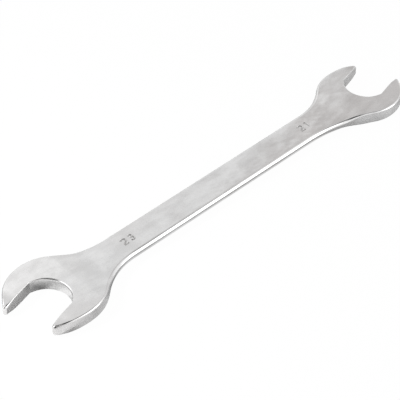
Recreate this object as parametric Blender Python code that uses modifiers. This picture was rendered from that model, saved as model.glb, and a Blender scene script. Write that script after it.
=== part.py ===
"""A double open end wrench, forged in one piece.

It has a 23 mm mouth at one end and a 21 mm mouth at the other. Both mouths are turned by the same
angle from the handle, so the wrench looks much the same after half a turn about its middle. The +X
axis runs along the handle to the 21 mm head and +Z is up. The origin lies under the middle of the
wrench, on the plane that the thicker head rests on. All sizes are in metres.
"""

import math
from collections import namedtuple

import bmesh
import bpy
from mathutils import Matrix, Vector

# Driving dimensions of the forging
MOUTH_ANGLE = math.radians(15.0)
CENTRE_DISTANCE = 0.2210
HANDLE_WIDTH = 0.0171
HANDLE_THICKNESS = 0.0040
TIP_THICKNESS = 0.0048
NECK_DISTANCE = 0.0279
NECK_LENGTH = 0.0134
HEAD_EDGE_RADIUS = 0.0009
MOUTH_EDGE_RADIUS = 0.0003
NUT_PLAY = 0.0003

# Sizes of the 23 mm end
BIG_NUT_WIDTH = 0.0230
BIG_HEAD_THICKNESS = 0.0068
BIG_HEAD_OFFSET = 0.0041
BIG_LONG_FILLET_RADIUS = 0.0478
BIG_NUMBER_DISTANCE = 0.0555

# Sizes of the 21 mm end
SMALL_NUT_WIDTH = 0.0210
SMALL_HEAD_THICKNESS = 0.0064
SMALL_HEAD_OFFSET = 0.0024
SMALL_LONG_FILLET_RADIUS = 0.0790
SMALL_NUMBER_DISTANCE = 0.0498

# Shares of the mouth's width that the rest of a head follows
THROAT_RADIUS_SHARE = 0.548
THROAT_SETBACK_SHARE = 0.094
SHORT_FILLET_SHARE = 1.527
FLAT_TAPER_SHARE = 0.20

# The handle's edges are nearly half round, and no edge is rounder than a jaw's tip
HANDLE_EDGE_SHARE = 0.45
TIP_EDGE_SHARE = 0.95

# The size numbers struck into the handle beside each head
NUMBER_HEIGHT = 0.0042
NUMBER_DEPTH = 0.0003
NUMBER_RISE = 0.0008

# How finely arcs, blends and rounded edges are divided
ARC_TOLERANCE = 0.00001
WELD_DISTANCE = 0.000001
LEAST_ARC_CUTS = 3
NECK_CUTS = 10
CROWN_CUTS = 6
TAPER_CUTS = 6
EDGE_SEGMENTS = 3
NUMBER_RESOLUTION = 3
SHARP_ANGLE = math.radians(40.0)

# A jaw's outline runs round its tip, along its back and round its shoulder. The shares are of the
# mouth's width: how far the tip reaches past the nut's centre, and the three radii.
Jaw = namedtuple("Jaw", "reach_share tip_share tip_turn back_share back_turn shoulder_share")
SHORT_JAW = Jaw(0.378, 0.060, math.radians(141.2), 1.70, math.radians(26.6), 1.085)
LONG_JAW = Jaw(0.437, 0.045, math.radians(136.6), 2.45, math.radians(7.4), 0.953)

# A head's end is +1 at the +X end of the handle and -1 at the other.
Head = namedtuple(
    "Head", "size end mouth_width thickness offset long_fillet_radius number_distance"
)
HEADS = (
    Head("21", 1, SMALL_NUT_WIDTH + NUT_PLAY, SMALL_HEAD_THICKNESS, SMALL_HEAD_OFFSET,
         SMALL_LONG_FILLET_RADIUS, SMALL_NUMBER_DISTANCE),
    Head("23", -1, BIG_NUT_WIDTH + NUT_PLAY, BIG_HEAD_THICKNESS, BIG_HEAD_OFFSET,
         BIG_LONG_FILLET_RADIUS, BIG_NUMBER_DISTANCE),
)


def head_axes(head):
    """The frame of one head: origin at the nut's centre, X out of the mouth, Y to its left."""
    along = Matrix.Rotation(MOUTH_ANGLE + (math.pi if head.end < 0 else 0.0), 4, "Z")
    centre = head.end * Vector((CENTRE_DISTANCE / 2, head.offset, 0.0))
    return Matrix.Translation(centre) @ along


def direction(angle):
    return Vector((math.cos(angle), math.sin(angle), 0.0))


def angle_of(vector):
    return math.atan2(vector.y, vector.x)


def arc_points(centre, radius, start, turn):
    """Points along an arc from the angle start; a positive turn runs anticlockwise."""
    step = 2.0 * math.acos(1.0 - ARC_TOLERANCE / radius)
    count = max(LEAST_ARC_CUTS, math.ceil(abs(turn) / step))
    return [centre + radius * direction(start + turn * i / count) for i in range(count + 1)]


def jaw_points(head, jaw, side, fillet_radius):
    """One jaw from the end of its flat to the handle's edge, each arc tangent to the last.

    side is +1 for the jaw to the left of the mouth. The arcs are worked out as a left jaw's and
    mirrored for a right one.
    """
    width = head.mouth_width
    to_wrench = head_axes(head) @ Matrix.Diagonal((1.0, side, 1.0, 1.0))
    tip_radius = jaw.tip_share * width
    back_radius = jaw.back_share * width
    shoulder_radius = jaw.shoulder_share * width

    angle = -math.pi / 2
    centre = Vector((jaw.reach_share * width - tip_radius, width / 2 + tip_radius, 0.0))
    taper = FLAT_TAPER_SHARE * width * Vector((1.0, 0.0, 0.0))
    flat_end = centre + tip_radius * direction(angle)
    points = [flat_end - taper * (TAPER_CUTS - i) / TAPER_CUTS for i in range(TAPER_CUTS)]
    points += arc_points(centre, tip_radius, angle, jaw.tip_turn)
    angle += jaw.tip_turn
    centre += (tip_radius - back_radius) * direction(angle)
    points += arc_points(centre, back_radius, angle, jaw.back_turn)[1:]
    angle += jaw.back_turn
    centre += (back_radius - shoulder_radius) * direction(angle)

    # The fillet touches the shoulder from outside and the handle's straight edge.
    shoulder = to_wrench @ centre
    edge_y = side * head.end * HANDLE_WIDTH / 2
    fillet_y = side * head.end * (HANDLE_WIDTH / 2 + fillet_radius)
    run = math.sqrt((shoulder_radius + fillet_radius) ** 2 - (fillet_y - shoulder.y) ** 2)
    fillet_x = shoulder.x - head.end * run
    fillet = to_wrench.inverted() @ Vector((fillet_x, fillet_y, 0.0))
    touch = to_wrench.inverted() @ Vector((fillet_x, edge_y, 0.0))

    shoulder_turn = (angle_of(fillet - centre) - angle) % math.tau
    points += arc_points(centre, shoulder_radius, angle, shoulder_turn)[1:]
    start = angle_of(centre - fillet)
    fillet_turn = (start - angle_of(touch - fillet)) % math.tau
    points += arc_points(fillet, fillet_radius, start, -fillet_turn)[1:]
    return [to_wrench @ point for point in points]


def throat_points(head):
    """The round bottom of the mouth, from the right flat to the left one."""
    radius = THROAT_RADIUS_SHARE * head.mouth_width
    centre = Vector((-THROAT_SETBACK_SHARE * head.mouth_width, 0.0, 0.0))
    half_gap = math.asin(head.mouth_width / 2 / radius)
    points = arc_points(centre, radius, math.pi + half_gap, -2.0 * half_gap)
    return [head_axes(head) @ point for point in points]


def head_points(head):
    """One head, anticlockwise: its right jaw, its throat and its left jaw."""
    short_radius = SHORT_FILLET_SHARE * head.mouth_width
    right = jaw_points(head, LONG_JAW, -1, head.long_fillet_radius)
    left = jaw_points(head, SHORT_JAW, 1, short_radius)
    return right[::-1] + throat_points(head) + left


def smooth_step(share):
    share = min(max(share, 0.0), 1.0)
    return share * share * (3.0 - 2.0 * share)


def nearest_head(point):
    return HEADS[0] if point.x > 0.0 else HEADS[1]


def neck_share(point):
    """0 on the handle and 1 on the heads, with a smooth rise across each neck."""
    from_centre = CENTRE_DISTANCE / 2 - abs(point.x)
    return smooth_step(0.5 + (NECK_DISTANCE - from_centre) / NECK_LENGTH)


def half_thickness(point):
    """Half the forging's thickness at a point of its plan."""
    head = nearest_head(point)
    past_centre = (head_axes(head).inverted() @ point).x
    crown = max(past_centre / (SHORT_JAW.reach_share * head.mouth_width), 0.0) ** 2
    neck_rise = (head.thickness - HANDLE_THICKNESS) * neck_share(point)
    tip_fall = (head.thickness - TIP_THICKNESS) * min(crown, 1.0)
    return (HANDLE_THICKNESS + neck_rise - tip_fall) / 2


def edge_radius(point):
    """Radius of the rounded edge at a point of the outline.

    It is widest on the handle, smaller round the heads and least in the mouths. It grows again
    along the end of each flat, before the jaw's tip.
    """
    head = nearest_head(point)
    width = head.mouth_width
    place = head_axes(head).inverted() @ point
    on_head = min(HEAD_EDGE_RADIUS, TIP_EDGE_SHARE * LONG_JAW.tip_share * width)
    on_handle = HANDLE_EDGE_SHARE * HANDLE_THICKNESS
    outer = on_handle + (on_head - on_handle) * neck_share(point)
    throat_bottom = -(THROAT_RADIUS_SHARE + THROAT_SETBACK_SHARE) * width
    in_mouth = abs(place.y) < width / 2 + WELD_DISTANCE and place.x > throat_bottom - WELD_DISTANCE
    if not in_mouth:
        return outer
    jaw = SHORT_JAW if place.y > 0.0 else LONG_JAW
    from_flat_end = place.x / width - (jaw.reach_share - jaw.tip_share)
    growth = smooth_step(1.0 + from_flat_end / FLAT_TAPER_SHARE)
    return MOUTH_EDGE_RADIUS + (outer - MOUTH_EDGE_RADIUS) * growth


def clear_scene():
    for old in list(bpy.data.objects):
        bpy.data.objects.remove(old)


def new_collection(name):
    collection = bpy.data.collections.new(name)
    bpy.context.scene.collection.children.link(collection)
    return collection


def new_object(data, name, collection):
    thing = bpy.data.objects.new(name, data)
    collection.objects.link(thing)
    return thing


def object_from(form, name, collection):
    mesh = bpy.data.meshes.new(name)
    form.to_mesh(mesh)
    form.free()
    return new_object(mesh, name, collection)


def form_from(source):
    """The welded mesh of an object with its modifiers, as a bmesh. The object is removed."""
    graph = bpy.context.evaluated_depsgraph_get()
    mesh = bpy.data.meshes.new_from_object(source.evaluated_get(graph))
    bpy.data.objects.remove(source)
    form = bmesh.new()
    form.from_mesh(mesh)
    bpy.data.meshes.remove(mesh)
    bmesh.ops.remove_doubles(form, verts=form.verts, dist=WELD_DISTANCE)
    return form


def plate_form(collection):
    """A flat plate with the wrench's outline."""
    points = [point for head in HEADS for point in head_points(head)]
    curve = bpy.data.curves.new("outline", "CURVE")
    curve.dimensions = "2D"
    curve.fill_mode = "BOTH"
    curve.extrude = HANDLE_THICKNESS / 2
    spline = curve.splines.new("POLY")
    spline.points.add(len(points) - 1)
    for spot, point in zip(spline.points, points):
        spot.co = (point.x, point.y, 0.0, 1.0)
    spline.use_cyclic_u = True
    return form_from(new_object(curve, "outline", collection))


def is_cap(face):
    return abs(face.normal.z) > face.normal.xy.length


def make_caps_whole(form):
    """Joins each cap's triangles into one face."""
    inner = [edge for edge in form.edges if all(is_cap(face) for face in edge.link_faces)]
    bmesh.ops.dissolve_edges(form, edges=inner)


def cut_across(form, place, normal):
    everything = form.verts[:] + form.edges[:] + form.faces[:]
    bmesh.ops.bisect_plane(
        form, geom=everything, dist=WELD_DISTANCE, plane_co=place, plane_no=normal
    )


def divide_necks_and_crowns(form):
    """Lines across the plate where its thickness will change."""
    for head in HEADS:
        neck = CENTRE_DISTANCE / 2 - NECK_DISTANCE
        for i in range(NECK_CUTS + 1):
            x = head.end * (neck + NECK_LENGTH * (i / NECK_CUTS - 0.5))
            cut_across(form, Vector((x, 0.0, 0.0)), Vector((1.0, 0.0, 0.0)))
        axes = head_axes(head)
        reach = SHORT_JAW.reach_share * head.mouth_width
        for i in range(CROWN_CUTS + 1):
            place = axes @ Vector((reach * i / CROWN_CUTS, 0.0, 0.0))
            cut_across(form, place, axes.to_3x3() @ Vector((1.0, 0.0, 0.0)))


def thicken_heads(form):
    """Moves both faces, with their rounded edges, to the forging's thickness at each place."""
    for vertex in form.verts:
        rise = half_thickness(vertex.co) - HANDLE_THICKNESS / 2
        vertex.co.z += math.copysign(rise, vertex.co.z)


def rounded_form(form, collection):
    """The plate with a rounded rim, whose radius follows the place along the outline."""
    widest = max(edge_radius(vertex.co) for vertex in form.verts)
    weights = form.edges.layers.float.new("bevel_weight_edge")
    for edge in form.edges:
        caps = sum(is_cap(face) for face in edge.link_faces)
        if caps == 1:
            radii = [edge_radius(vertex.co) for vertex in edge.verts]
            edge[weights] = sum(radii) / len(radii) / widest
    plate = object_from(form, "plate", collection)
    rounding = plate.modifiers.new("rounded_edges", "BEVEL")
    rounding.limit_method = "WEIGHT"
    rounding.width = widest
    rounding.segments = EDGE_SEGMENTS
    rounding.use_clamp_overlap = False
    return form_from(plate)


def chrome():
    material = bpy.data.materials.new("satin_chrome")
    material.use_nodes = True
    surface = material.node_tree.nodes["Principled BSDF"]
    surface.inputs["Base Color"].default_value = (0.62, 0.61, 0.60, 1.0)
    surface.inputs["Metallic"].default_value = 1.0
    surface.inputs["Roughness"].default_value = 0.28
    return material


def number_cutter(head, collection):
    """The solid that strikes one head's size into the handle's top face."""
    text = bpy.data.curves.new("number_" + head.size, "FONT")
    text.body = head.size
    text.resolution_u = NUMBER_RESOLUTION
    text.extrude = NUMBER_DEPTH
    form = form_from(new_object(text, "number_" + head.size, collection))
    low = [min(vertex.co[axis] for vertex in form.verts) for axis in range(2)]
    high = [max(vertex.co[axis] for vertex in form.verts) for axis in range(2)]
    middle = Vector((low[0] + high[0], low[1] + high[1], 0.0)) / 2
    size = NUMBER_HEIGHT / (high[1] - low[1])
    x = head.end * (CENTRE_DISTANCE / 2 - head.number_distance)
    place = Vector((x, NUMBER_RISE, HANDLE_THICKNESS / 2))
    for vertex in form.verts:
        flat = size * (vertex.co - middle)
        vertex.co = place + Vector((flat.x, flat.y, vertex.co.z))
    cutter = object_from(form, "number_" + head.size, collection)
    cutter.hide_render = True
    cutter.display_type = "WIRE"
    return cutter


def forged_wrench(collection, cutters):
    form = plate_form(collection)
    make_caps_whole(form)
    form = rounded_form(form, collection)
    divide_necks_and_crowns(form)
    thicken_heads(form)
    wrench = object_from(form, "forged_wrench", collection)
    wrench.data.materials.append(chrome())
    for cutter in cutters:
        strike = wrench.modifiers.new(cutter.name, "BOOLEAN")
        strike.operation = "DIFFERENCE"
        strike.solver = "EXACT"
        strike.object = cutter
    wrench.data.shade_smooth()
    wrench.data.set_sharp_from_angle(angle=SHARP_ANGLE)
    return wrench


def main():
    clear_scene()
    model = new_collection("open_end_wrench")
    tools = new_collection("cutters")
    cutters = [number_cutter(head, tools) for head in HEADS]
    wrench = forged_wrench(model, cutters)

    # The wrench is drawn about its handle's middle, then stood on its underside.
    places = [vertex.co for vertex in wrench.data.vertices]
    low = [min(place[axis] for place in places) for axis in range(3)]
    high = [max(place[axis] for place in places) for axis in range(3)]
    for thing in (wrench, *cutters):
        thing.location = (-(low[0] + high[0]) / 2, -(low[1] + high[1]) / 2, -low[2])


main()
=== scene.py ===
# %% [markdown]
# # A double open end wrench in satin chrome
#
# The real wrench is one piece of steel: it is forged in a die, its mouths are milled, its faces are
# ground, its sizes are struck, and then all of it is polished and chrome plated. This lesson makes
# the same piece in the same order, lays it on a white table and lights it as a small studio would.
#
# Every length is in metres. +X runs along the handle to the 21 mm head and +Z is up.

import math
from collections import namedtuple

import bpy
from mathutils import Matrix, Vector

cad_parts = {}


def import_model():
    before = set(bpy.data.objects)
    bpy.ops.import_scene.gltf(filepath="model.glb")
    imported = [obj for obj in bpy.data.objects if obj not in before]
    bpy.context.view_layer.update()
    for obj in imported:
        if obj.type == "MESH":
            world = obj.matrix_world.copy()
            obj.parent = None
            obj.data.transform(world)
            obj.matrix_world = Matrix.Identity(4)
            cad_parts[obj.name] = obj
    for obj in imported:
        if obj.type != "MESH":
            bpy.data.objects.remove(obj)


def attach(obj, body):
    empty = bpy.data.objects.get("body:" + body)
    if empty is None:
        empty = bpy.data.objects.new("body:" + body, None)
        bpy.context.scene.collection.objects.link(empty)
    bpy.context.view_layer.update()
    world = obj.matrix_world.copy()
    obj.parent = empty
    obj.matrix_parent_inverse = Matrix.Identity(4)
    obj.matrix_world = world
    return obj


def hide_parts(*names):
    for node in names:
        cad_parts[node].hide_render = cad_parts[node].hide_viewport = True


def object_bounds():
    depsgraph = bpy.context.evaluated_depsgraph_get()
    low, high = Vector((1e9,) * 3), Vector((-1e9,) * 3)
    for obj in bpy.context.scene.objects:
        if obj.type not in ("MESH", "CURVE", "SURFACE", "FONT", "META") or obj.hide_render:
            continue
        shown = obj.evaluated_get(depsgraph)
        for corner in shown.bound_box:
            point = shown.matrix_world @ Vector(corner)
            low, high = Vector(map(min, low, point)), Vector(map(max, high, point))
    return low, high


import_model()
cad_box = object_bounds()
print("The solid wrench's box:", [[round(c, 4) for c in corner] for corner in cad_box])

# %% [markdown]
# ## The sizes of the forging
#
# A wrench like this follows from a few sizes: the two nuts it fits, the distance between them, the
# handle's section and the thickness of each head. A jaw's outline is a chain of arcs, each tangent to
# the last, whose radii are shares of the mouth's width. That is how such a wrench is drawn in a
# works drawing, and it gives the clean, swelling curves that straight lines and bevels would not.

# %% Sizes of the wrench
MOUTH_ANGLE = math.radians(15.0)
CENTRE_DISTANCE = 0.2210
HANDLE_WIDTH = 0.0171
HANDLE_THICKNESS = 0.0040
TIP_THICKNESS = 0.0048
NECK_DISTANCE = 0.0279
NECK_LENGTH = 0.0134
HEAD_EDGE_RADIUS = 0.0009
HANDLE_EDGE_RADIUS = 0.0018
MOUTH_EDGE_RADIUS = 0.0003
THROAT_EDGE_RADIUS = 0.0009
THROAT_RADIUS_SHARE = 0.548
THROAT_SETBACK_SHARE = 0.094
SHORT_FILLET_SHARE = 1.527
FLAT_TAPER_SHARE = 0.20
THROAT_GROWTH = 2.2
SHORT_TIP_EDGE_RADIUS = 0.0012
SHORT_TIP_START_SHARE = 0.10

Jaw = namedtuple("Jaw", "reach tip tip_turn back back_turn shoulder")
SHORT_JAW = Jaw(0.378, 0.060, math.radians(141.2), 1.70, math.radians(26.6), 1.085)
LONG_JAW = Jaw(0.437, 0.045, math.radians(136.6), 2.45, math.radians(7.4), 0.953)

Head = namedtuple("Head", "size end width thickness offset long_fillet number_distance")
HEAD_21 = Head("21", 1, 0.0213, 0.0064, 0.0024, 0.0790, 0.0497)
HEAD_23 = Head("23", -1, 0.0233, 0.0068, 0.0041, 0.0478, 0.0550)
HEADS = (HEAD_21, HEAD_23)


def head_axes(head):
    """Origin at the nut's centre, X out of the mouth and Y to its left."""
    turned = Matrix.Rotation(MOUTH_ANGLE + (math.pi if head.end < 0 else 0.0), 4, "Z")
    centre = head.end * Vector((CENTRE_DISTANCE / 2, head.offset, 0.0))
    return Matrix.Translation(centre) @ turned


for head in HEADS:
    print(head.size, "mm nut's centre:", [round(c, 4) for c in head_axes(head).translation])

# %% [markdown]
# ## The chain of arcs
#
# Each arc is kept as its centre, the point where it starts and how far it turns. The tip, the back
# and the shoulder follow from each other. The fillet into the handle is the only one that has to be
# solved: its circle touches both the shoulder's circle and the handle's straight edge.

# %% Arcs of a jaw and of a throat
Arc = namedtuple("Arc", "centre start turn")


def direction(angle):
    return Vector((math.cos(angle), math.sin(angle), 0.0))


def angle_of(vector):
    return math.atan2(vector.y, vector.x)


def jaw_arcs(head, jaw, side, fillet_radius):
    """One jaw's arcs, from the end of its flat to the handle. side is +1 for a left jaw."""
    width = head.width
    to_wrench = head_axes(head) @ Matrix.Diagonal((1.0, side, 1.0, 1.0))
    to_head = to_wrench.inverted()
    angle = -math.pi / 2
    radius = jaw.tip * width
    centre = Vector((jaw.reach * width - radius, width / 2 + radius, 0.0))
    arcs = []
    for turn, next_radius in (
        (jaw.tip_turn, jaw.back * width),
        (jaw.back_turn, jaw.shoulder * width),
    ):
        arcs.append((centre.copy(), centre + radius * direction(angle), turn))
        angle += turn
        centre += (radius - next_radius) * direction(angle)
        radius = next_radius

    shoulder = to_wrench @ centre
    outward = side * head.end
    fillet_y = outward * (HANDLE_WIDTH / 2 + fillet_radius)
    run = math.sqrt((radius + fillet_radius) ** 2 - (fillet_y - shoulder.y) ** 2)
    fillet_x = shoulder.x - head.end * run
    fillet = to_head @ Vector((fillet_x, fillet_y, 0.0))
    touch = to_head @ Vector((fillet_x, outward * HANDLE_WIDTH / 2, 0.0))
    shoulder_turn = (angle_of(fillet - centre) - angle) % math.tau
    arcs.append((centre, centre + radius * direction(angle), shoulder_turn))
    start = centre + radius * direction(angle + shoulder_turn)
    fillet_turn = (angle_of(start - fillet) - angle_of(touch - fillet)) % math.tau
    arcs.append((fillet, start, -fillet_turn))
    return [Arc(to_wrench @ c, to_wrench @ s, side * turn) for c, s, turn in arcs]


def backwards(arcs):
    """The same arcs walked the other way."""
    return [
        Arc(c, c + Matrix.Rotation(turn, 3, "Z") @ (s - c), -turn) for c, s, turn in reversed(arcs)
    ]


def throat_arc(head):
    radius = THROAT_RADIUS_SHARE * head.width
    half_gap = math.asin(head.width / 2 / radius)
    centre = Vector((-THROAT_SETBACK_SHARE * head.width, 0.0, 0.0))
    start = centre + radius * direction(math.pi + half_gap)
    axes = head_axes(head)
    return Arc(axes @ centre, axes @ start, -2.0 * half_gap)


def head_arcs(head):
    """One head anticlockwise: its right jaw, its throat and its left jaw."""
    right = jaw_arcs(head, LONG_JAW, -1, head.long_fillet)
    left = jaw_arcs(head, SHORT_JAW, 1, SHORT_FILLET_SHARE * head.width)
    return backwards(right) + [throat_arc(head)] + left


outline = [arc for head in HEADS for arc in head_arcs(head)]
print("The outline has", len(outline), "arcs")

# %% [markdown]
# ## Drawing the plan with the spin tool
#
# By hand one would put a single vertex on the drawing, spin it about each arc's centre in turn, and
# extrude it straight wherever the outline runs straight. The same operators do it here. A plane is
# added and merged down to one vertex, which then walks round the whole outline. Fine steps matter,
# because chrome shows every facet.

# %% Walk one vertex round the outline
ARC_TOLERANCE = 0.000002
WELD = 0.000002
LEAST_ARC_STEPS = 10
FLAT_STEPS = 40


def deselect_all():
    if bpy.context.object and bpy.context.object.mode == "EDIT":
        bpy.ops.object.mode_set(mode="OBJECT")
    bpy.ops.object.select_all(action="DESELECT")


def start_walk(name, place):
    """A new piece in edit mode that is one selected vertex at the given place."""
    deselect_all()
    bpy.ops.mesh.primitive_plane_add(size=HANDLE_WIDTH)
    piece = bpy.context.object
    piece.name = name
    bpy.ops.object.mode_set(mode="EDIT")
    bpy.ops.mesh.select_all(action="SELECT")
    bpy.ops.mesh.merge(type="CENTER")
    bpy.ops.transform.translate(value=place)
    return piece


def walk_straight(here, there, steps=1):
    """Extrudes the vertex along a straight run."""
    for _ in range(steps):
        bpy.ops.mesh.extrude_vertices_move(TRANSFORM_OT_translate={"value": (there - here) / steps})
    return there


def walk_arc(arc):
    """Spins the vertex about the arc's centre. The spin tool turns clockwise."""
    radius = (arc.start - arc.centre).length
    step = 2.0 * math.acos(1.0 - ARC_TOLERANCE / radius)
    steps = max(LEAST_ARC_STEPS, math.ceil(abs(arc.turn) / step))
    bpy.ops.mesh.spin(steps=steps, angle=-arc.turn, center=arc.centre, axis=(0.0, 0.0, 1.0))
    return arc.centre + Matrix.Rotation(arc.turn, 3, "Z") @ (arc.start - arc.centre)


wrench = start_walk("open_end_wrench", outline[0].start)
here = outline[0].start
for arc in outline:
    run = (arc.start - here).length
    if run > WELD:
        on_flat = run < HEAD_23.width
        walk_straight(here, arc.start, FLAT_STEPS if on_flat else 1)
    here = walk_arc(arc)
walk_straight(here, outline[0].start)
bpy.ops.mesh.select_all(action="SELECT")
bpy.ops.mesh.remove_doubles(threshold=WELD)
bpy.ops.mesh.edge_face_add()
print("Plan:", wrench.data.total_vert_sel, "points")

# %% [markdown]
# ## From the plan to a plate
#
# The plan's single face is extruded to the handle's thickness. The heads get theirs later, when the
# edges are already round, because a bevel stays clean only while no lines run across the faces
# beside it.

# %% Extrude the plate
lift = {"value": (0.0, 0.0, HANDLE_THICKNESS)}
bpy.ops.mesh.extrude_region_move(TRANSFORM_OT_translate=lift)
bpy.ops.mesh.select_all(action="SELECT")
bpy.ops.transform.translate(value=(0.0, 0.0, -HANDLE_THICKNESS / 2))
bpy.ops.mesh.normals_make_consistent(inside=False)
bpy.ops.object.mode_set(mode="OBJECT")
print("Plate:", len(wrench.data.vertices), "points,", len(wrench.data.polygons), "faces")

# %% [markdown]
# ## Round edges of changing width
#
# On the real wrench the handle's edges are almost half round, the heads' are smaller, and the mouths
# are milled after forging, so their edges are crisp. One Bevel modifier makes all three: each rim
# edge carries a weight, and the width of its bevel is that share of the widest. The weights change
# slowly along the necks, along the last part of each flat and at both ends of each throat, whose
# rim was eased with a wheel. The short jaws' tips are a little rounder outside, as polishing leaves
# them.

# %% Weigh the rim and bevel it
EDGE_SEGMENTS = 10
THROAT_END_SHARE = -THROAT_SETBACK_SHARE - math.sqrt(THROAT_RADIUS_SHARE**2 - 0.25)


def smooth_step(share):
    share = min(max(share, 0.0), 1.0)
    return share * share * (3.0 - 2.0 * share)


def nearest_head(point):
    return HEAD_21 if point.x > 0.0 else HEAD_23


def neck_share(point):
    """0 on the handle, 1 on a head and in between across a neck."""
    from_nut = CENTRE_DISTANCE / 2 - abs(point.x)
    return smooth_step(0.5 + (NECK_DISTANCE - from_nut) / NECK_LENGTH)


def short_tip_share(place, head):
    """From 0 on the back of the short jaw to 1 at its tip."""
    if place.y < 0.0:
        return 0.0
    taper = SHORT_JAW.reach - SHORT_TIP_START_SHARE
    return smooth_step((place.x / head.width - SHORT_TIP_START_SHARE) / taper)


def edge_radius(point):
    head = nearest_head(point)
    place = head_axes(head).inverted() @ point
    outer = HANDLE_EDGE_RADIUS + (HEAD_EDGE_RADIUS - HANDLE_EDGE_RADIUS) * neck_share(point)
    throat_bottom = -(THROAT_RADIUS_SHARE + THROAT_SETBACK_SHARE) * head.width
    if abs(place.y) > head.width / 2 + WELD or place.x < throat_bottom - WELD:
        return outer + (SHORT_TIP_EDGE_RADIUS - HEAD_EDGE_RADIUS) * short_tip_share(place, head)
    if place.x < THROAT_END_SHARE * head.width:
        growth = smooth_step(THROAT_GROWTH * (1.0 - abs(place.y) / (head.width / 2)))
        return MOUTH_EDGE_RADIUS + (THROAT_EDGE_RADIUS - MOUTH_EDGE_RADIUS) * growth
    jaw = SHORT_JAW if place.y > 0.0 else LONG_JAW
    from_flat_end = place.x / head.width - (jaw.reach - jaw.tip)
    growth = smooth_step(1.0 + from_flat_end / FLAT_TAPER_SHARE)
    return MOUTH_EDGE_RADIUS + (outer - MOUTH_EDGE_RADIUS) * growth


def apply_modifier(piece, kind, **settings):
    """Adds a modifier to a piece and applies it."""
    deselect_all()
    piece.select_set(True)
    bpy.context.view_layer.objects.active = piece
    bpy.ops.object.modifier_add(type=kind)
    modifier = piece.modifiers[-1]
    for name, value in settings.items():
        setattr(modifier, name, value)
    bpy.ops.object.modifier_apply(modifier=modifier.name)


weights = wrench.data.attributes.new("bevel_weight_edge", "FLOAT", "EDGE")
for edge in wrench.data.edges:
    ends = [wrench.data.vertices[i].co for i in edge.vertices]
    if abs(ends[0].z - ends[1].z) < WELD:
        radius = (edge_radius(ends[0]) + edge_radius(ends[1])) / 2
        weights.data[edge.index].value = radius / HANDLE_EDGE_RADIUS
apply_modifier(
    wrench, "BEVEL", limit_method="WEIGHT", width=HANDLE_EDGE_RADIUS, segments=EDGE_SEGMENTS,
    use_clamp_overlap=False,
)
print("Rounded plate:", len(wrench.data.polygons), "faces")

# %% [markdown]
# ## Swelling necks and thinning jaws
#
# The heads are thicker than the handle, and each jaw thins again towards its tip. Lines are cut
# across the plate with the bisect tool wherever the thickness changes, and then both faces are moved
# apart, together with their rounded edges, by a smooth step over each neck and a gentle curve over
# each jaw.

# %% Cut lines across the necks and the jaws
NECK_CUTS = 28
CROWN_CUTS = 18


def cut_across(place, normal):
    bpy.ops.mesh.select_all(action="SELECT")
    bpy.ops.mesh.bisect(plane_co=place, plane_no=normal, threshold=WELD)


deselect_all()
wrench.select_set(True)
bpy.context.view_layer.objects.active = wrench
bpy.ops.object.mode_set(mode="EDIT")
for head in HEADS:
    neck = CENTRE_DISTANCE / 2 - NECK_DISTANCE
    for i in range(NECK_CUTS + 1):
        x = head.end * (neck + NECK_LENGTH * (i / NECK_CUTS - 0.5))
        cut_across((x, 0.0, 0.0), (1.0, 0.0, 0.0))
    axes = head_axes(head)
    reach = SHORT_JAW.reach * head.width
    for i in range(CROWN_CUTS + 1):
        cut_across(axes @ Vector((reach * i / CROWN_CUTS, 0.0, 0.0)), axes.col[0].xyz)
bpy.ops.object.mode_set(mode="OBJECT")
print("Cut plate:", len(wrench.data.polygons), "faces")

# %% Give the heads their thickness


def half_thickness(point):
    head = nearest_head(point)
    past_nut = (head_axes(head).inverted() @ point).x
    crown = max(past_nut / (SHORT_JAW.reach * head.width), 0.0) ** 2
    swell = (head.thickness - HANDLE_THICKNESS) * neck_share(point)
    thinning = (head.thickness - TIP_THICKNESS) * min(crown, 1.0)
    return (HANDLE_THICKNESS + swell - thinning) / 2


for vertex in wrench.data.vertices:
    rise = half_thickness(vertex.co) - HANDLE_THICKNESS / 2
    vertex.co.z += math.copysign(rise, vertex.co.z)
print("Thickness:", [round(2 * half_thickness(head_axes(h).translation), 4) for h in HEADS])

# %% [markdown]
# ## Striking the sizes
#
# A punch with rounded strokes drives each size into the handle beside its head. Each stroke is drawn
# as the plan was, by walking a vertex along it, and becomes a round wire. A line that follows a bow
# starts where the bow ends. The wire is much thicker than the groove is deep and only dips into the
# face, so it cuts a shallow, round-bottomed groove that catches a light and a dark side. The grooves
# get a rougher finish of their own, with a darker tint that is painted shade.

# %% The strokes of the digits
NUMBER_HEIGHT = 0.0046
NUMBER_WIDTH = 0.0035
NUMBER_STEP = 0.0043
NUMBER_BASE = -0.0018
GROOVE_WIDTH = 0.00100
GROOVE_DEPTH = 0.00026
WIRE_RADIUS = (GROOVE_WIDTH**2 / 4 + GROOVE_DEPTH**2) / (2 * GROOVE_DEPTH)
WIRE_RINGS = 8

Line = namedtuple("Line", "start end")
Bow = namedtuple("Bow", "centre radius start turn")
half_width = (NUMBER_WIDTH - GROOVE_WIDTH) / 2
full_height = NUMBER_HEIGHT - GROOVE_WIDTH
upper_radius = 0.23 * full_height
lower_radius = 0.27 * full_height
DIGITS = {
    "1": (
        (Line((0.2 * half_width, 0.0), (0.2 * half_width, full_height)),),
        (Line((0.2 * half_width, full_height), (-0.4 * half_width, 0.82 * full_height)),),
    ),
    "2": (
        (
            Bow((0.0, full_height - half_width), half_width, 160.0, -200.0),
            Line(None, (-half_width, 0.0)),
        ),
        (Line((-1.05 * half_width, -0.02 * full_height), (half_width, -0.02 * full_height)),),
    ),
    "3": (
        (Bow((0.0, full_height - upper_radius), upper_radius, 155.0, -245.0),),
        (Bow((0.0, lower_radius), lower_radius, 94.0, -249.0),),
        (Line((-0.5 * half_width, 0.54 * full_height), (0.1 * half_width, 0.535 * full_height)),),
    ),
}
print("Digits drawn:", sorted(DIGITS))

# %% Cut the numbers


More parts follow.
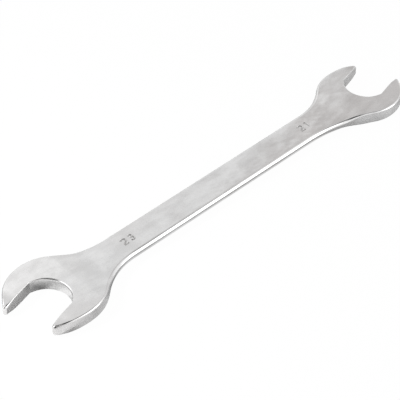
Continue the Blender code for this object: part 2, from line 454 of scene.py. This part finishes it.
def draw_stroke(parts):
    """One stroke of a digit, as a round wire about the drawing's origin."""
    first = parts[0]
    if isinstance(first, Line):
        here = Vector((*first.start, 0.0))
    else:
        here = Vector((*first.centre, 0.0)) + first.radius * direction(math.radians(first.start))
    wire = start_walk("number_punch", here)
    for part in parts:
        if isinstance(part, Line):
            here = walk_straight(here, Vector((*part.end, 0.0)))
        else:
            here = walk_arc(Arc(Vector((*part.centre, 0.0)), here, math.radians(part.turn)))
    bpy.ops.mesh.select_all(action="SELECT")
    bpy.ops.mesh.remove_doubles(threshold=WELD)
    bpy.ops.object.mode_set(mode="OBJECT")
    bpy.ops.object.convert(target="CURVE")
    wire.data.bevel_depth = WIRE_RADIUS
    wire.data.bevel_resolution = WIRE_RINGS
    wire.data.use_fill_caps = True
    bpy.ops.object.convert(target="MESH")
    return wire


number_places = []
for head in HEADS:
    middle = head.end * (CENTRE_DISTANCE / 2 - head.number_distance)
    for i, digit in enumerate(head.size):
        place = Vector((
            middle + (i - 0.5) * NUMBER_STEP,
            NUMBER_BASE + GROOVE_WIDTH / 2,
            HANDLE_THICKNESS / 2 - GROOVE_DEPTH + WIRE_RADIUS,
        ))
        number_places.append(place)
        for parts in DIGITS[digit]:
            punch = draw_stroke(parts)
            punch.location = place
            faces_before = len(wrench.data.polygons)
            apply_modifier(wrench, "BOOLEAN", operation="DIFFERENCE", solver="EXACT", object=punch)
            bpy.data.objects.remove(punch)
            print("A stroke of", digit, "-", len(wrench.data.polygons) - faces_before, "more faces")

# %% [markdown]
# ## Smooth faces, exact place
#
# Weighted normals let the large flat faces win over the narrow strips of the rounded edges, so that a
# flat face reflects like a flat face right up to its edge. The wrench then moves onto the solid one,
# whose box is centred over the origin and stands on the ground.

# %% Smooth the forging and put it in place
SHARP_ANGLE = math.radians(30.0)


def in_struck_number(point):
    """Whether a point lies below the face inside one of the struck numbers."""
    if not 0.0 < point.z < HANDLE_THICKNESS / 2 - WELD:
        return False
    return any(
        abs(point.x - place.x) < NUMBER_WIDTH and abs(point.y - place.y) < NUMBER_HEIGHT
        for place in number_places
    )


def sharpen_number_rims(piece):
    """Keeps the flat face flat to the eye right up to the struck strokes."""
    struck_sides = {}
    for face in piece.data.polygons:
        struck = in_struck_number(face.center)
        for key in face.edge_keys:
            struck_sides.setdefault(key, set()).add(struck)
    for edge in piece.data.edges:
        if len(struck_sides.get(edge.key, ())) == 2:
            edge.use_edge_sharp = True


deselect_all()
wrench.select_set(True)
bpy.context.view_layer.objects.active = wrench
bpy.ops.object.shade_smooth_by_angle(angle=SHARP_ANGLE)
sharpen_number_rims(wrench)
apply_modifier(wrench, "WEIGHTED_NORMAL", keep_sharp=True, mode="FACE_AREA", weight=100)

low = Vector([min(v.co[axis] for v in wrench.data.vertices) for axis in range(3)])
high = Vector([max(v.co[axis] for v in wrench.data.vertices) for axis in range(3)])
cad_low, cad_high = Vector(cad_box[0]), Vector(cad_box[1])
placed = (cad_low + cad_high) / 2 - (low + high) / 2
wrench.location = placed
bpy.ops.object.transform_apply(location=True, rotation=False, scale=False)
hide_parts("forged_wrench")
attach(wrench, "root")
print("Wrench:", [round(size, 4) for size in high - low], "m,", len(wrench.data.polygons), "faces")

# %% [markdown]
# ## Writing shader maths as sums
#
# A finish is easier to read as a sum than as a picture of nodes. The small class below wraps a
# socket, so that adding or multiplying two of them adds the Math node. Every other node comes from
# one method that takes the node's type, its settings and its inputs.

# %% A class for sockets


class Amount:
    """A number or colour that varies from place to place."""

    def __init__(self, recipe, socket):
        self.recipe = recipe
        self.socket = socket

    def maths(self, operation, first, second):
        return self.recipe.node("ShaderNodeMath", {"operation": operation}, {0: first, 1: second})

    def __add__(self, other):
        return self.maths("ADD", self, other)

    def __radd__(self, other):
        return self.maths("ADD", other, self)

    def __rsub__(self, other):
        return self.maths("SUBTRACT", other, self)

    def __mul__(self, other):
        return self.maths("MULTIPLY", self, other)

    def __rmul__(self, other):
        return self.maths("MULTIPLY", other, self)

    def __abs__(self):
        return self.maths("ABSOLUTE", self, 0.0)

    def most(self, other):
        return self.maths("MAXIMUM", self, other)


print("Sums of sockets: + - * abs most")

# %% A class for the nodes of a material or of the room


class Recipe:
    """The nodes of a material or of the room."""

    def __init__(self, tree):
        self.nodes = tree.nodes
        self.links = tree.links

    def plug(self, socket, value):
        if isinstance(value, Amount):
            self.links.new(value.socket, socket)
        else:
            socket.default_value = value

    def node(self, kind, settings=None, inputs=None, output=0):
        made = self.nodes.new(kind)
        for name, value in (settings or {}).items():
            setattr(made, name, value)
        for name, value in (inputs or {}).items():
            self.plug(made.inputs[name], value)
        return Amount(self, made.outputs[output]) if made.outputs else None

    def between(self, amount, low, high, to_low=0.0, to_high=1.0):
        """Maps an amount from one range to another with soft ends."""
        inputs = {
            "Value": amount, "From Min": low, "From Max": high, "To Min": to_low, "To Max": to_high
        }
        return self.node("ShaderNodeMapRange", {"interpolation_type": "SMOOTHSTEP"}, inputs)

    def blend(self, share, first, second):
        """A colour between two colours."""
        settings = {"data_type": "RGBA", "blend_type": "MIX"}
        return self.node("ShaderNodeMix", settings, {0: share, 6: first, 7: second}, output=2)


print("Ready to write recipes")

# %% A class for finishes


class Finish(Recipe):
    """A material, its Principled surface and the pattern coordinates on the object."""

    def __init__(self, name):
        self.material = bpy.data.materials.new(name)
        self.material.use_nodes = True
        super().__init__(self.material.node_tree)
        self.surface = self.nodes["Principled BSDF"]
        self.place = self.node("ShaderNodeTexCoord", output="Object")

    def stretched(self, scale):
        """The coordinates drawn out, so that a pattern runs along one way."""
        return self.node(
            "ShaderNodeMapping", {"vector_type": "POINT"}, {"Vector": self.place, "Scale": scale}
        )

    def noise(self, scale, detail=2.0, place=None, roughness=0.5):
        inputs = {
            "Vector": place or self.place, "Scale": scale, "Detail": detail, "Roughness": roughness
        }
        return self.node("ShaderNodeTexNoise", {"noise_dimensions": "3D"}, inputs)

    def bump(self, height, distance, normal=None):
        inputs = {"Height": height, "Distance": distance}
        if normal:
            inputs["Normal"] = normal
        return self.node("ShaderNodeBump", None, inputs)

    def set(self, **inputs):
        for name, value in inputs.items():
            self.plug(self.surface.inputs[name.replace("_", " ")], value)


print("Ready to write finishes")

# %% [markdown]
# ## Satin chrome
#
# Plated chrome over ground steel is a mirror with a little haze. Three things make it look like a
# tool and not like a ball bearing: the faces are never quite flat, so the reflection wavers; the
# last grinding belt ran along the handle and left lines too fine to feel; and hands leave a faint
# film that widens the highlight here and there.

# %% The finish of the polished faces
PALE_CHROME = (0.668, 0.668, 0.668, 1.0)
PALE_WARM_CHROME = (0.670, 0.666, 0.664, 1.0)
DULL_CHROME = (0.575, 0.574, 0.574, 1.0)
DULL_WARM_CHROME = (0.580, 0.574, 0.571, 1.0)
WAVER_HEIGHT = 0.00012
BELT_LINE_HEIGHT = 0.0000012


def polished_chrome():
    finish = Finish("polished_chrome")
    cloud = finish.noise(45.0, detail=4.0, roughness=0.6)
    grain = finish.noise(900.0, detail=2.0)
    streak = finish.noise(1.0, detail=3.0, place=finish.stretched((90.0, 210.0, 210.0)))
    film = finish.between(finish.noise(95.0, detail=4.0, roughness=0.6), 0.48, 0.72)
    belt = finish.noise(1.0, detail=3.0, place=finish.stretched((60.0, 2600.0, 2600.0)))
    waver = finish.noise(95.0, detail=2.0)
    patch = finish.between(0.45 * cloud + 0.4 * streak + 0.15 * grain, 0.38, 0.62)
    warmth = finish.between(finish.noise(22.0, detail=2.0), 0.42, 0.62)
    pale = finish.blend(warmth, PALE_CHROME, PALE_WARM_CHROME)
    dull = finish.blend(warmth, DULL_CHROME, DULL_WARM_CHROME)
    tint = finish.blend(patch, pale, dull)
    normal = finish.bump(waver, WAVER_HEIGHT)
    normal = finish.bump(belt, BELT_LINE_HEIGHT, normal=normal)
    finish.set(
        Base_Color=tint, Metallic=1.0, Roughness=0.10 + 0.07 * film + 0.03 * belt, Normal=normal
    )
    return finish.material


wrench.data.materials.clear()
wrench.data.materials.append(polished_chrome())
print("Finish:", wrench.data.materials[0].name)

# %% [markdown]
# ## Struck numbers and milled mouths
#
# Two places on the wrench never see the polishing wheel. The struck numbers are rougher, and their
# darker tint is painted shade in the grooves; that is what makes them legible. The mouths' walls keep
# the upright lines of the milling cutter. Each face gets its finish by its place on the wrench.

# %% The finishes of the numbers and the mouths
# Painted shade: the darker tints of the struck grooves stand in for the shade inside them.
DARK_GROOVE_SHADE = (0.34, 0.335, 0.33, 1.0)
PALE_GROOVE_SHADE = (0.50, 0.495, 0.49, 1.0)
PALE_CUT = (0.66, 0.658, 0.656, 1.0)
DULL_CUT = (0.55, 0.547, 0.545, 1.0)
CUTTER_LINE_HEIGHT = 0.000002


def struck_recess():
    """The floor and walls of the struck numbers: rougher, and tinted darker as painted shade."""
    finish = Finish("struck_recess")
    shade_and_roughness_noise = finish.noise(900.0, detail=3.0)
    # The darker tint is painted shade in the grooves.
    tint = finish.blend(shade_and_roughness_noise, DARK_GROOVE_SHADE, PALE_GROOVE_SHADE)
    finish.set(Base_Color=tint, Metallic=1.0, Roughness=0.30 + 0.14 * shade_and_roughness_noise)
    return finish.material


def milled_chrome():
    """The mouth's walls, where the cutter left upright lines under the plate."""
    finish = Finish("milled_chrome")
    lines = finish.noise(1.0, detail=3.0, place=finish.stretched((1500.0, 1500.0, 25.0)))
    tint = finish.blend(lines, PALE_CUT, DULL_CUT)
    normal = finish.bump(lines, CUTTER_LINE_HEIGHT)
    finish.set(Base_Color=tint, Metallic=1.0, Roughness=0.24 + 0.12 * lines, Normal=normal)
    return finish.material


for make in (struck_recess, milled_chrome):
    wrench.data.materials.append(make())
print("Finishes:", [material.name for material in wrench.data.materials])

# %% Give each face its finish
STRUCK_SLOT = 1
MILLED_SLOT = 2
UPRIGHT = 0.3


def on_mouth_wall(point):
    """Whether a point lies on a flat or on the throat's arc."""
    head = nearest_head(point)
    place = head_axes(head).inverted() @ point
    play = MOUTH_EDGE_RADIUS / 2
    if abs(place.y) > head.width / 2 + play or place.x > SHORT_JAW.reach * head.width:
        return False
    if place.x > THROAT_END_SHARE * head.width:
        return abs(abs(place.y) - head.width / 2) < play
    from_centre = math.hypot(place.x + THROAT_SETBACK_SHARE * head.width, place.y)
    return abs(from_centre - THROAT_RADIUS_SHARE * head.width) < play


for face in wrench.data.polygons:
    place = face.center - placed
    if in_struck_number(place):
        face.material_index = STRUCK_SLOT
    elif abs(face.normal.z) < UPRIGHT and on_mouth_wall(place):
        face.material_index = MILLED_SLOT
for slot in (STRUCK_SLOT, MILLED_SLOT):
    faces = sum(face.material_index == slot for face in wrench.data.polygons)
    print("Faces of", wrench.data.materials[slot].name, faces)

# %% [markdown]
# ## A white table with painted reflections
#
# A chrome tool shows its surroundings, so the studio is most of its look. A photographer lays small
# white and black cards beside such a tool, out of the picture, and moves them until its edges read
# well. Here they are painted on the white table instead, as glowing white and black patches that only
# the metal sees, so they are painted reflections: the eye's rays find plain white. Two long strips
# paint the fine line under the handle, and round patches paint lighter and darker reflections on the
# walls of both heads.

# %% The table's painted reflection patches
WHITE = (1.0, 1.0, 1.0, 1.0)
BRIGHT = (1.4, 1.4, 1.4, 1.0)
BLACK = (0.0, 0.0, 0.0, 1.0)

Strip = namedtuple("Strip", "near far strength light")
# Painted reflections: a glowing white strip and a black one that only the metal mirrors, for the line
# under the handle.
HANDLE_REFLECTION_STRIPS = (
    Strip(0.0060, 0.0106, 1.00, WHITE),
    Strip(0.0106, 0.0300, 0.38, BLACK),
)
STRIP_HALF_LENGTH = 0.078
STRIP_END_BLUR = 0.010
STRIP_SIDE_BLUR = 0.001

Spot = namedtuple("Spot", "x y inner outer strength light")
# Painted reflections: round glowing and black patches that only the metal mirrors, to lighten and
# darken the near head's walls.
NEAR_HEAD_REFLECTION_SPOTS = (
    Spot(-0.1022, 0.0055, 0.0012, 0.0034, 0.50, BLACK),
    Spot(-0.0966, 0.0000, 0.0015, 0.0037, 1.00, BRIGHT),
    Spot(-0.0985, -0.0245, 0.0030, 0.0090, 0.50, WHITE),
    Spot(-0.0860, -0.0210, 0.0030, 0.0100, 0.45, WHITE),
)
# Painted reflections: round glowing and black patches that only the metal mirrors, to lighten and
# darken the far head's walls.
FAR_HEAD_REFLECTION_SPOTS = (
    Spot(0.0810, -0.0180, 0.0020, 0.0070, 0.22, BLACK),
    Spot(0.1060, -0.0215, 0.0040, 0.0120, 0.40, WHITE),
    Spot(0.1125, 0.0135, 0.0030, 0.0080, 0.35, WHITE),
)


def before(recipe, amount, limit, blur):
    """1 below a limit and 0 above it, with a soft step between."""
    return recipe.between(amount, limit - blur, limit + blur, 1.0, 0.0)


def painted_strip_share(recipe, place, strip):
    """1 on a strip along the handle's near edge, whose sides are measured from the handle's middle."""
    along = abs(recipe.node("ShaderNodeSeparateXYZ", None, {"Vector": place}, output="X"))
    across = 0.0 - recipe.node("ShaderNodeSeparateXYZ", None, {"Vector": place}, output="Y")
    inside = before(recipe, along, STRIP_HALF_LENGTH, STRIP_END_BLUR)
    inside = inside * (1.0 - before(recipe, across, strip.near, STRIP_SIDE_BLUR))
    return inside * before(recipe, across, strip.far, STRIP_SIDE_BLUR)


def painted_spot_share(recipe, place, spot):
    """1 within a round painted patch's inner radius, fading to 0 at its outer one."""
    inputs = {0: place, 1: (spot.x, spot.y, 0.0)}
    away = recipe.node("ShaderNodeVectorMath", {"operation": "DISTANCE"}, inputs, output="Value")
    return recipe.between(away, spot.inner, spot.outer, 1.0, 0.0)


print("Cards on the table:", len(HANDLE_REFLECTION_STRIPS + NEAR_HEAD_REFLECTION_SPOTS + FAR_HEAD_REFLECTION_SPOTS))

# %% The table
TABLE_SIZE = 3.0
TABLE_PAINT = (0.64, 0.64, 0.64, 1.0)
WHITE_TO_EYE = 0.98
WHITE_TO_METAL = 0.05


def add_glow(recipe, surface, share, light):
    """Lets a share of a surface glow instead."""
    glow = recipe.node("ShaderNodeEmission", None, {"Color": light, "Strength": 1.0})
    return recipe.node("ShaderNodeMixShader", None, {0: share, 1: surface, 2: glow})


def table_finish():
    """White paint, with glowing white and black patches that only the metal sees: painted reflections.
    """
    material = bpy.data.materials.new("white_table")
    material.use_nodes = True
    recipe = Recipe(material.node_tree)
    recipe.nodes.clear()
    seen = recipe.node("ShaderNodeLightPath", output="Is Camera Ray")
    mirrored = recipe.node("ShaderNodeLightPath", output="Is Glossy Ray")
    passed = recipe.node("ShaderNodeLightPath", output="Is Transmission Ray")
    from_metal = mirrored.most(passed)
    place = recipe.node("ShaderNodeTexCoord", output="Object")
    surface = recipe.node("ShaderNodeBsdfDiffuse", None, {"Color": TABLE_PAINT})
    surface = add_glow(recipe, surface, seen * WHITE_TO_EYE, WHITE)
    surface = add_glow(recipe, surface, from_metal * WHITE_TO_METAL, WHITE)
    # Painted reflections: strips and round patches that glow white or black for the metal's rays only.
    for strip in HANDLE_REFLECTION_STRIPS:
        share = from_metal * painted_strip_share(recipe, place, strip) * strip.strength
        surface = add_glow(recipe, surface, share, strip.light)
    for spot in NEAR_HEAD_REFLECTION_SPOTS + FAR_HEAD_REFLECTION_SPOTS:
        share = from_metal * painted_spot_share(recipe, place, spot) * spot.strength
        surface = add_glow(recipe, surface, share, spot.light)
    recipe.node("ShaderNodeOutputMaterial", None, {"Surface": surface})
    return material


deselect_all()
bpy.ops.mesh.primitive_plane_add(size=TABLE_SIZE)
table = bpy.context.object
table.name = "white_table"
table.data.materials.append(table_finish())
print("Table:", TABLE_SIZE, "m wide")

# %% [markdown]
# ## The room
#
# The room is painted on the world by direction, as one would hang panels round a tool: a long white
# panel stands behind and another on the left. On the right a white screen hides the dimmer wall,
# with a narrow bright softbox in front of it, and a round dish glows behind the near head, for the
# white crescent on its throat's rim. Grey and black flags hang overhead, and one stands low behind,
# and they draw the thin dark lines beside the bright edges.

# %% Lights and flags
PANEL_LIGHT = (1.09, 1.09, 1.09, 1.0)
PANEL_BRIGHT_LIGHT = (1.50, 1.50, 1.50, 1.0)
SIDE_LIGHT = (1.1, 1.1, 1.1, 1.0)
WALL_LIGHT = (0.757, 0.733, 0.724, 1.0)
ROOM_LIGHT = (1.02, 1.01, 1.01, 1.0)
DISH_LIGHT = (2.4, 2.4, 2.4, 1.0)
SCREEN_LIGHT = (1.38, 1.38, 1.38, 1.0)
SOFTBOX_LIGHT = (3.0, 3.0, 3.0, 1.0)
GREY_LIGHT = (0.35, 0.35, 0.35, 1.0)
BLACK_LIGHT = (0.06, 0.06, 0.06, 1.0)

Flag = namedtuple("Flag", "azimuth elevation inner outer")
BLACK_FLAGS = (
    Flag(80.0, 76.0, 11.5, 14.5),
    Flag(-75.0, 80.0, 7.0, 10.0),
    Flag(-101.0, 62.0, 9.0, 13.0),
    Flag(-160.0, 52.0, 22.0, 26.0),
    Flag(97.0, 2.0, 12.0, 17.0),
)
print("Black flags:", len(BLACK_FLAGS))

# %% A class for the room


def sky_direction(azimuth, elevation):
    turn, rise = math.radians(azimuth), math.radians(elevation)
    return Vector((math.cos(turn) * math.cos(rise), math.sin(turn) * math.cos(rise), math.sin(rise)))


class Room(Recipe):
    """The world, painted by the direction in which the chrome looks."""

    def __init__(self, name):
        world = bpy.data.worlds.new(name)
        world.use_nodes = True
        super().__init__(world.node_tree)
        self.world = world
        self.ray = self.node("ShaderNodeTexCoord", output="Generated")

    def toward(self, azimuth, elevation):
        """The cosine of the angle between a ray and a direction in the sky."""
        inputs = {0: self.ray, 1: sky_direction(azimuth, elevation)}
        return self.node("ShaderNodeVectorMath", {"operation": "DOT_PRODUCT"}, inputs, output="Value")

    def rise(self, amount, low, high):
        """From 0 to 1 between two angles whose sines are compared."""
        return self.between(amount, math.sin(math.radians(low)), math.sin(math.radians(high)))

    def disc(self, azimuth, elevation, inner, outer):
        """A round patch of the sky that is full within the inner angle and gone past the outer."""
        return self.rise(self.toward(azimuth, elevation), 90.0 - outer, 90.0 - inner)

    def card(self, azimuth, elevation, half_width, half_height):
        """Where a flat card stands, with soft edges."""
        ahead_of_it = self.rise(self.toward(azimuth, elevation), 0.0, 10.0)
        beside = abs(self.toward(azimuth + 90.0, 0.0))
        along = abs(self.toward(azimuth, elevation + 90.0))
        inside = 1.0 - self.rise(beside, half_width - 2.0, half_width + 2.0)
        return ahead_of_it * inside * (1.0 - self.rise(along, half_height - 2.0, half_height + 2.0))


room = Room("studio_room")
print("Looking round from the wrench in", room.world.name)

# %% Paint the room
above_panel = room.toward(-68.8, 23.8)
past_panel = room.toward(-50.5, 0.0)
back_panel = (1.0 - room.rise(above_panel, -0.9, 1.1)) * (1.0 - room.rise(past_panel, -1.0, 2.0))
height = room.toward(0.0, 90.0)
bright_strip = room.rise(height, 30.0, 42.0) * (1.0 - room.rise(height, 47.0, 55.0))
bright_strip = bright_strip * room.rise(room.toward(138.0, 0.0), 1.0, 12.0)
bright_strip = bright_strip * room.rise(room.toward(50.0, 0.0), 0.0, 8.0)
back_light = room.blend(bright_strip, PANEL_LIGHT, PANEL_BRIGHT_LIGHT)
above_wall = room.rise(room.toward(-138.0, 37.0), -2.0, 3.0)
beside_wall = room.rise(room.toward(-57.0, 0.0), -3.0, 3.0)
side_panel = room.card(158.0, 28.0, 42.0, 32.0)
dish = room.disc(124.0, 46.0, 16.0, 21.0)
screen = room.card(-56.0, 28.0, 35.0, 34.0)
softbox = room.card(-52.0, 20.0, 13.0, 31.0)
grey_flag = room.disc(0.0, 75.0, 15.0, 18.5)
light = room.blend(above_wall.most(beside_wall), WALL_LIGHT, ROOM_LIGHT)
light = room.blend(back_panel, light, back_light)
light = room.blend(side_panel, light, SIDE_LIGHT)
light = room.blend(dish, light, DISH_LIGHT)
light = room.blend(screen, light, SCREEN_LIGHT)
light = room.blend(softbox, light, SOFTBOX_LIGHT)
light = room.blend(grey_flag, light, GREY_LIGHT)
for flag in BLACK_FLAGS:
    light = room.blend(room.disc(*flag), light, BLACK_LIGHT)
room.plug(room.nodes["Background"].inputs["Color"], light)
bpy.context.scene.world = room.world
print("Room has", len(room.nodes), "nodes")

# %% [markdown]
# ## The lamp behind the wrench
#
# A soft lamp high behind the near head lays a short shadow on the table, which darkens the foot of
# every wall that faces the camera. The metal doesn't mirror the lamp itself.

# %% Hang the lamp
LAMP_TURN = 143.0
LAMP_HEIGHT = 42.0
LAMP_DISTANCE = 0.30
LAMP_WIDTH = 0.07
LAMP_POWER = 1.3

toward_lamp = sky_direction(LAMP_TURN, LAMP_HEIGHT)
lamp_place = head_axes(HEAD_23).translation + LAMP_DISTANCE * toward_lamp
bpy.ops.object.light_add(
    type="AREA", location=lamp_place, rotation=toward_lamp.to_track_quat("Z", "Y").to_euler()
)
lamp = bpy.context.object
lamp.name = "back_lamp"
lamp.data.energy = LAMP_POWER
lamp.data.size = LAMP_WIDTH
lamp.visible_glossy = False
print("Lamp stands at", [round(c, 3) for c in lamp_place])

# %% [markdown]
# ## The camera
#
# The camera looks down at the wrench from beside its 23 mm end, with a long lens from 75 cm away, so
# the far head is only a little smaller than the near one.

# %% Place the camera
CAMERA_PLACE = Vector((-0.38854, -0.40310, 0.50365))
LOOK_TURN = math.radians(46.885)
LOOK_DOWN = math.radians(42.183)
ROLL = math.radians(-0.669)
FOCAL_PIXELS = 1582.4
IMAGE_PIXELS = 400
SENSOR_WIDTH = 36.0

ahead = Vector((
    math.cos(LOOK_TURN) * math.cos(LOOK_DOWN),
    math.sin(LOOK_TURN) * math.cos(LOOK_DOWN),
    -math.sin(LOOK_DOWN),
))
level_right = Vector((math.sin(LOOK_TURN), -math.cos(LOOK_TURN), 0.0))
level_up = level_right.cross(ahead)
right = math.cos(ROLL) * level_right + math.sin(ROLL) * level_up
up = math.cos(ROLL) * level_up - math.sin(ROLL) * level_right

camera_data = bpy.data.cameras.new("camera")
camera_data.sensor_width = SENSOR_WIDTH
camera_data.lens = FOCAL_PIXELS / IMAGE_PIXELS * SENSOR_WIDTH
camera = bpy.data.objects.new("camera", camera_data)
turned = Matrix((right, up, -ahead)).transposed().to_4x4()
camera.matrix_world = Matrix.Translation(CAMERA_PLACE) @ turned
bpy.context.scene.collection.objects.link(camera)
bpy.context.scene.camera = camera
print("Lens:", round(camera_data.lens, 1), "mm")

# %% Colours as written
bpy.context.scene.view_settings.view_transform = "Standard"
